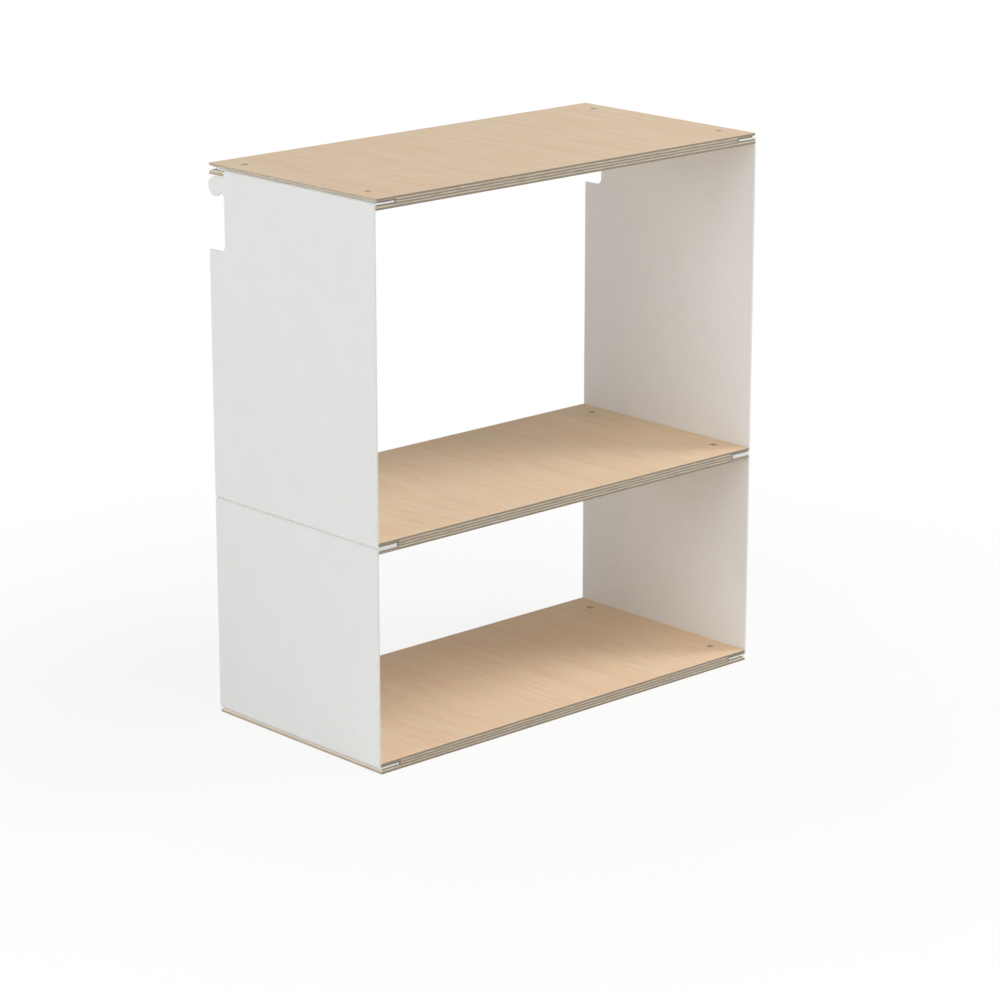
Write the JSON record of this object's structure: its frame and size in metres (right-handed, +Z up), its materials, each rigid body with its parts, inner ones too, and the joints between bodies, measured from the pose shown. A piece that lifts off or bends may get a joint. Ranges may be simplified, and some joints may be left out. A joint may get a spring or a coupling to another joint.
{
  "type": "sliding double bookcase",
  "caption": "Open bookcase of two compartments: plywood shelves slotted onto bent steel sides, with hooks in the rear edges to hang and slide along a rail.",
  "frame": {"origin": "middle of the footprint, on the surface that the bottom shelf stands on", "axes": "+Z up; +Y to the rear, where the hooks are, so the open front faces -Y; +X to the right as seen from the front"},
  "size_m": [0.545, 0.264, 0.6],
  "materials": {
    "plywood": "matt lacquer, birch-like veneer with bare ply edges",
    "powder_coat": "off-white powder coat, fine texture, matt",
    "screw_steel": "plain bright steel"
  },
  "bodies": {
    "root": {"top_shelf": "plywood", "middle_shelf": "plywood", "bottom_shelf": "plywood", "left_upper_side": "powder_coat", "right_upper_side": "powder_coat", "left_lower_side": "powder_coat", "right_lower_side": "powder_coat", "top_shelf_screw_front_left": "screw_steel", "top_shelf_screw_front_right": "screw_steel", "top_shelf_screw_rear_left": "screw_steel", "top_shelf_screw_rear_right": "screw_steel", "middle_shelf_screw_front_left": "screw_steel", "middle_shelf_screw_front_right": "screw_steel", "middle_shelf_screw_rear_left": "screw_steel", "middle_shelf_screw_rear_right": "screw_steel", "bottom_shelf_screw_front_left": "screw_steel", "bottom_shelf_screw_front_right": "screw_steel", "bottom_shelf_screw_rear_left": "screw_steel", "bottom_shelf_screw_rear_right": "screw_steel"}
  },
  "joints": []
}
